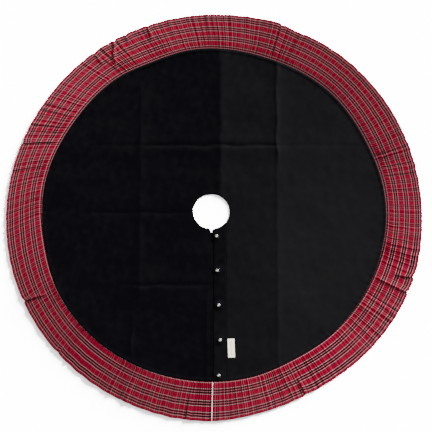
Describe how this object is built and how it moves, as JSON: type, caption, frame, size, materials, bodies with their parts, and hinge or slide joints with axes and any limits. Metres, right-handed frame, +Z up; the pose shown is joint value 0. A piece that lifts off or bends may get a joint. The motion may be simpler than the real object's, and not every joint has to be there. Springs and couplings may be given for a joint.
{
  "type": "tree skirt",
  "caption": "Round slit tree skirt of black velvet with a gathered red tartan ruffle, a lapped snap placket, and a corner that folds back to let the trunk in.",
  "frame": {"origin": "on the floor under the centre of the trunk hole, which is the middle of the hem circle", "axes": "+Z up, away from the floor; -Y from the hole along the slit to the hem; +X to the right of the slit, the side that carries the overlapping band and the label"},
  "size_m": [1.22, 1.22, 0.0096],
  "materials": {
    "velvet": "short-pile black velvet, soft sheen",
    "lining": "plain woven black lining, matt",
    "tartan": "woven crimson tartan, matt",
    "snaps": "bright nickel plate",
    "label": "woven cream ribbon, slight satin"
  },
  "bodies": {
    "skirt": {"velvet_main": "velvet", "lining_main": "lining", "ruffle_length_1": "tartan", "ruffle_length_2": "tartan", "ruffle_length_3": "tartan", "ruffle_length_4": "tartan", "under_placket": "velvet", "snap_stud_1": "snaps", "snap_stud_2": "snaps", "snap_stud_3": "snaps", "snap_stud_4": "snaps", "snap_stud_5": "snaps", "snap_post_1": "snaps", "snap_post_2": "snaps", "snap_post_3": "snaps", "snap_post_4": "snaps", "snap_post_5": "snaps"},
    "corner": {"velvet_corner": "velvet", "lining_corner": "lining", "ruffle_corner": "tartan", "top_placket": "velvet", "woven_label": "label", "snap_cap_1": "snaps", "snap_cap_2": "snaps", "snap_cap_3": "snaps", "snap_cap_4": "snaps", "snap_cap_5": "snaps", "snap_socket_1": "snaps", "snap_socket_2": "snaps", "snap_socket_3": "snaps", "snap_socket_4": "snaps", "snap_socket_5": "snaps"}
  },
  "joints": [
    {"name": "corner_fold", "type": "hinge", "parent": "skirt", "child": "corner", "pos_m": [0.054, 0, 0.006], "axis": [-0.3827, 0.9239, 0], "range_deg": [0, 165]}
  ]
}
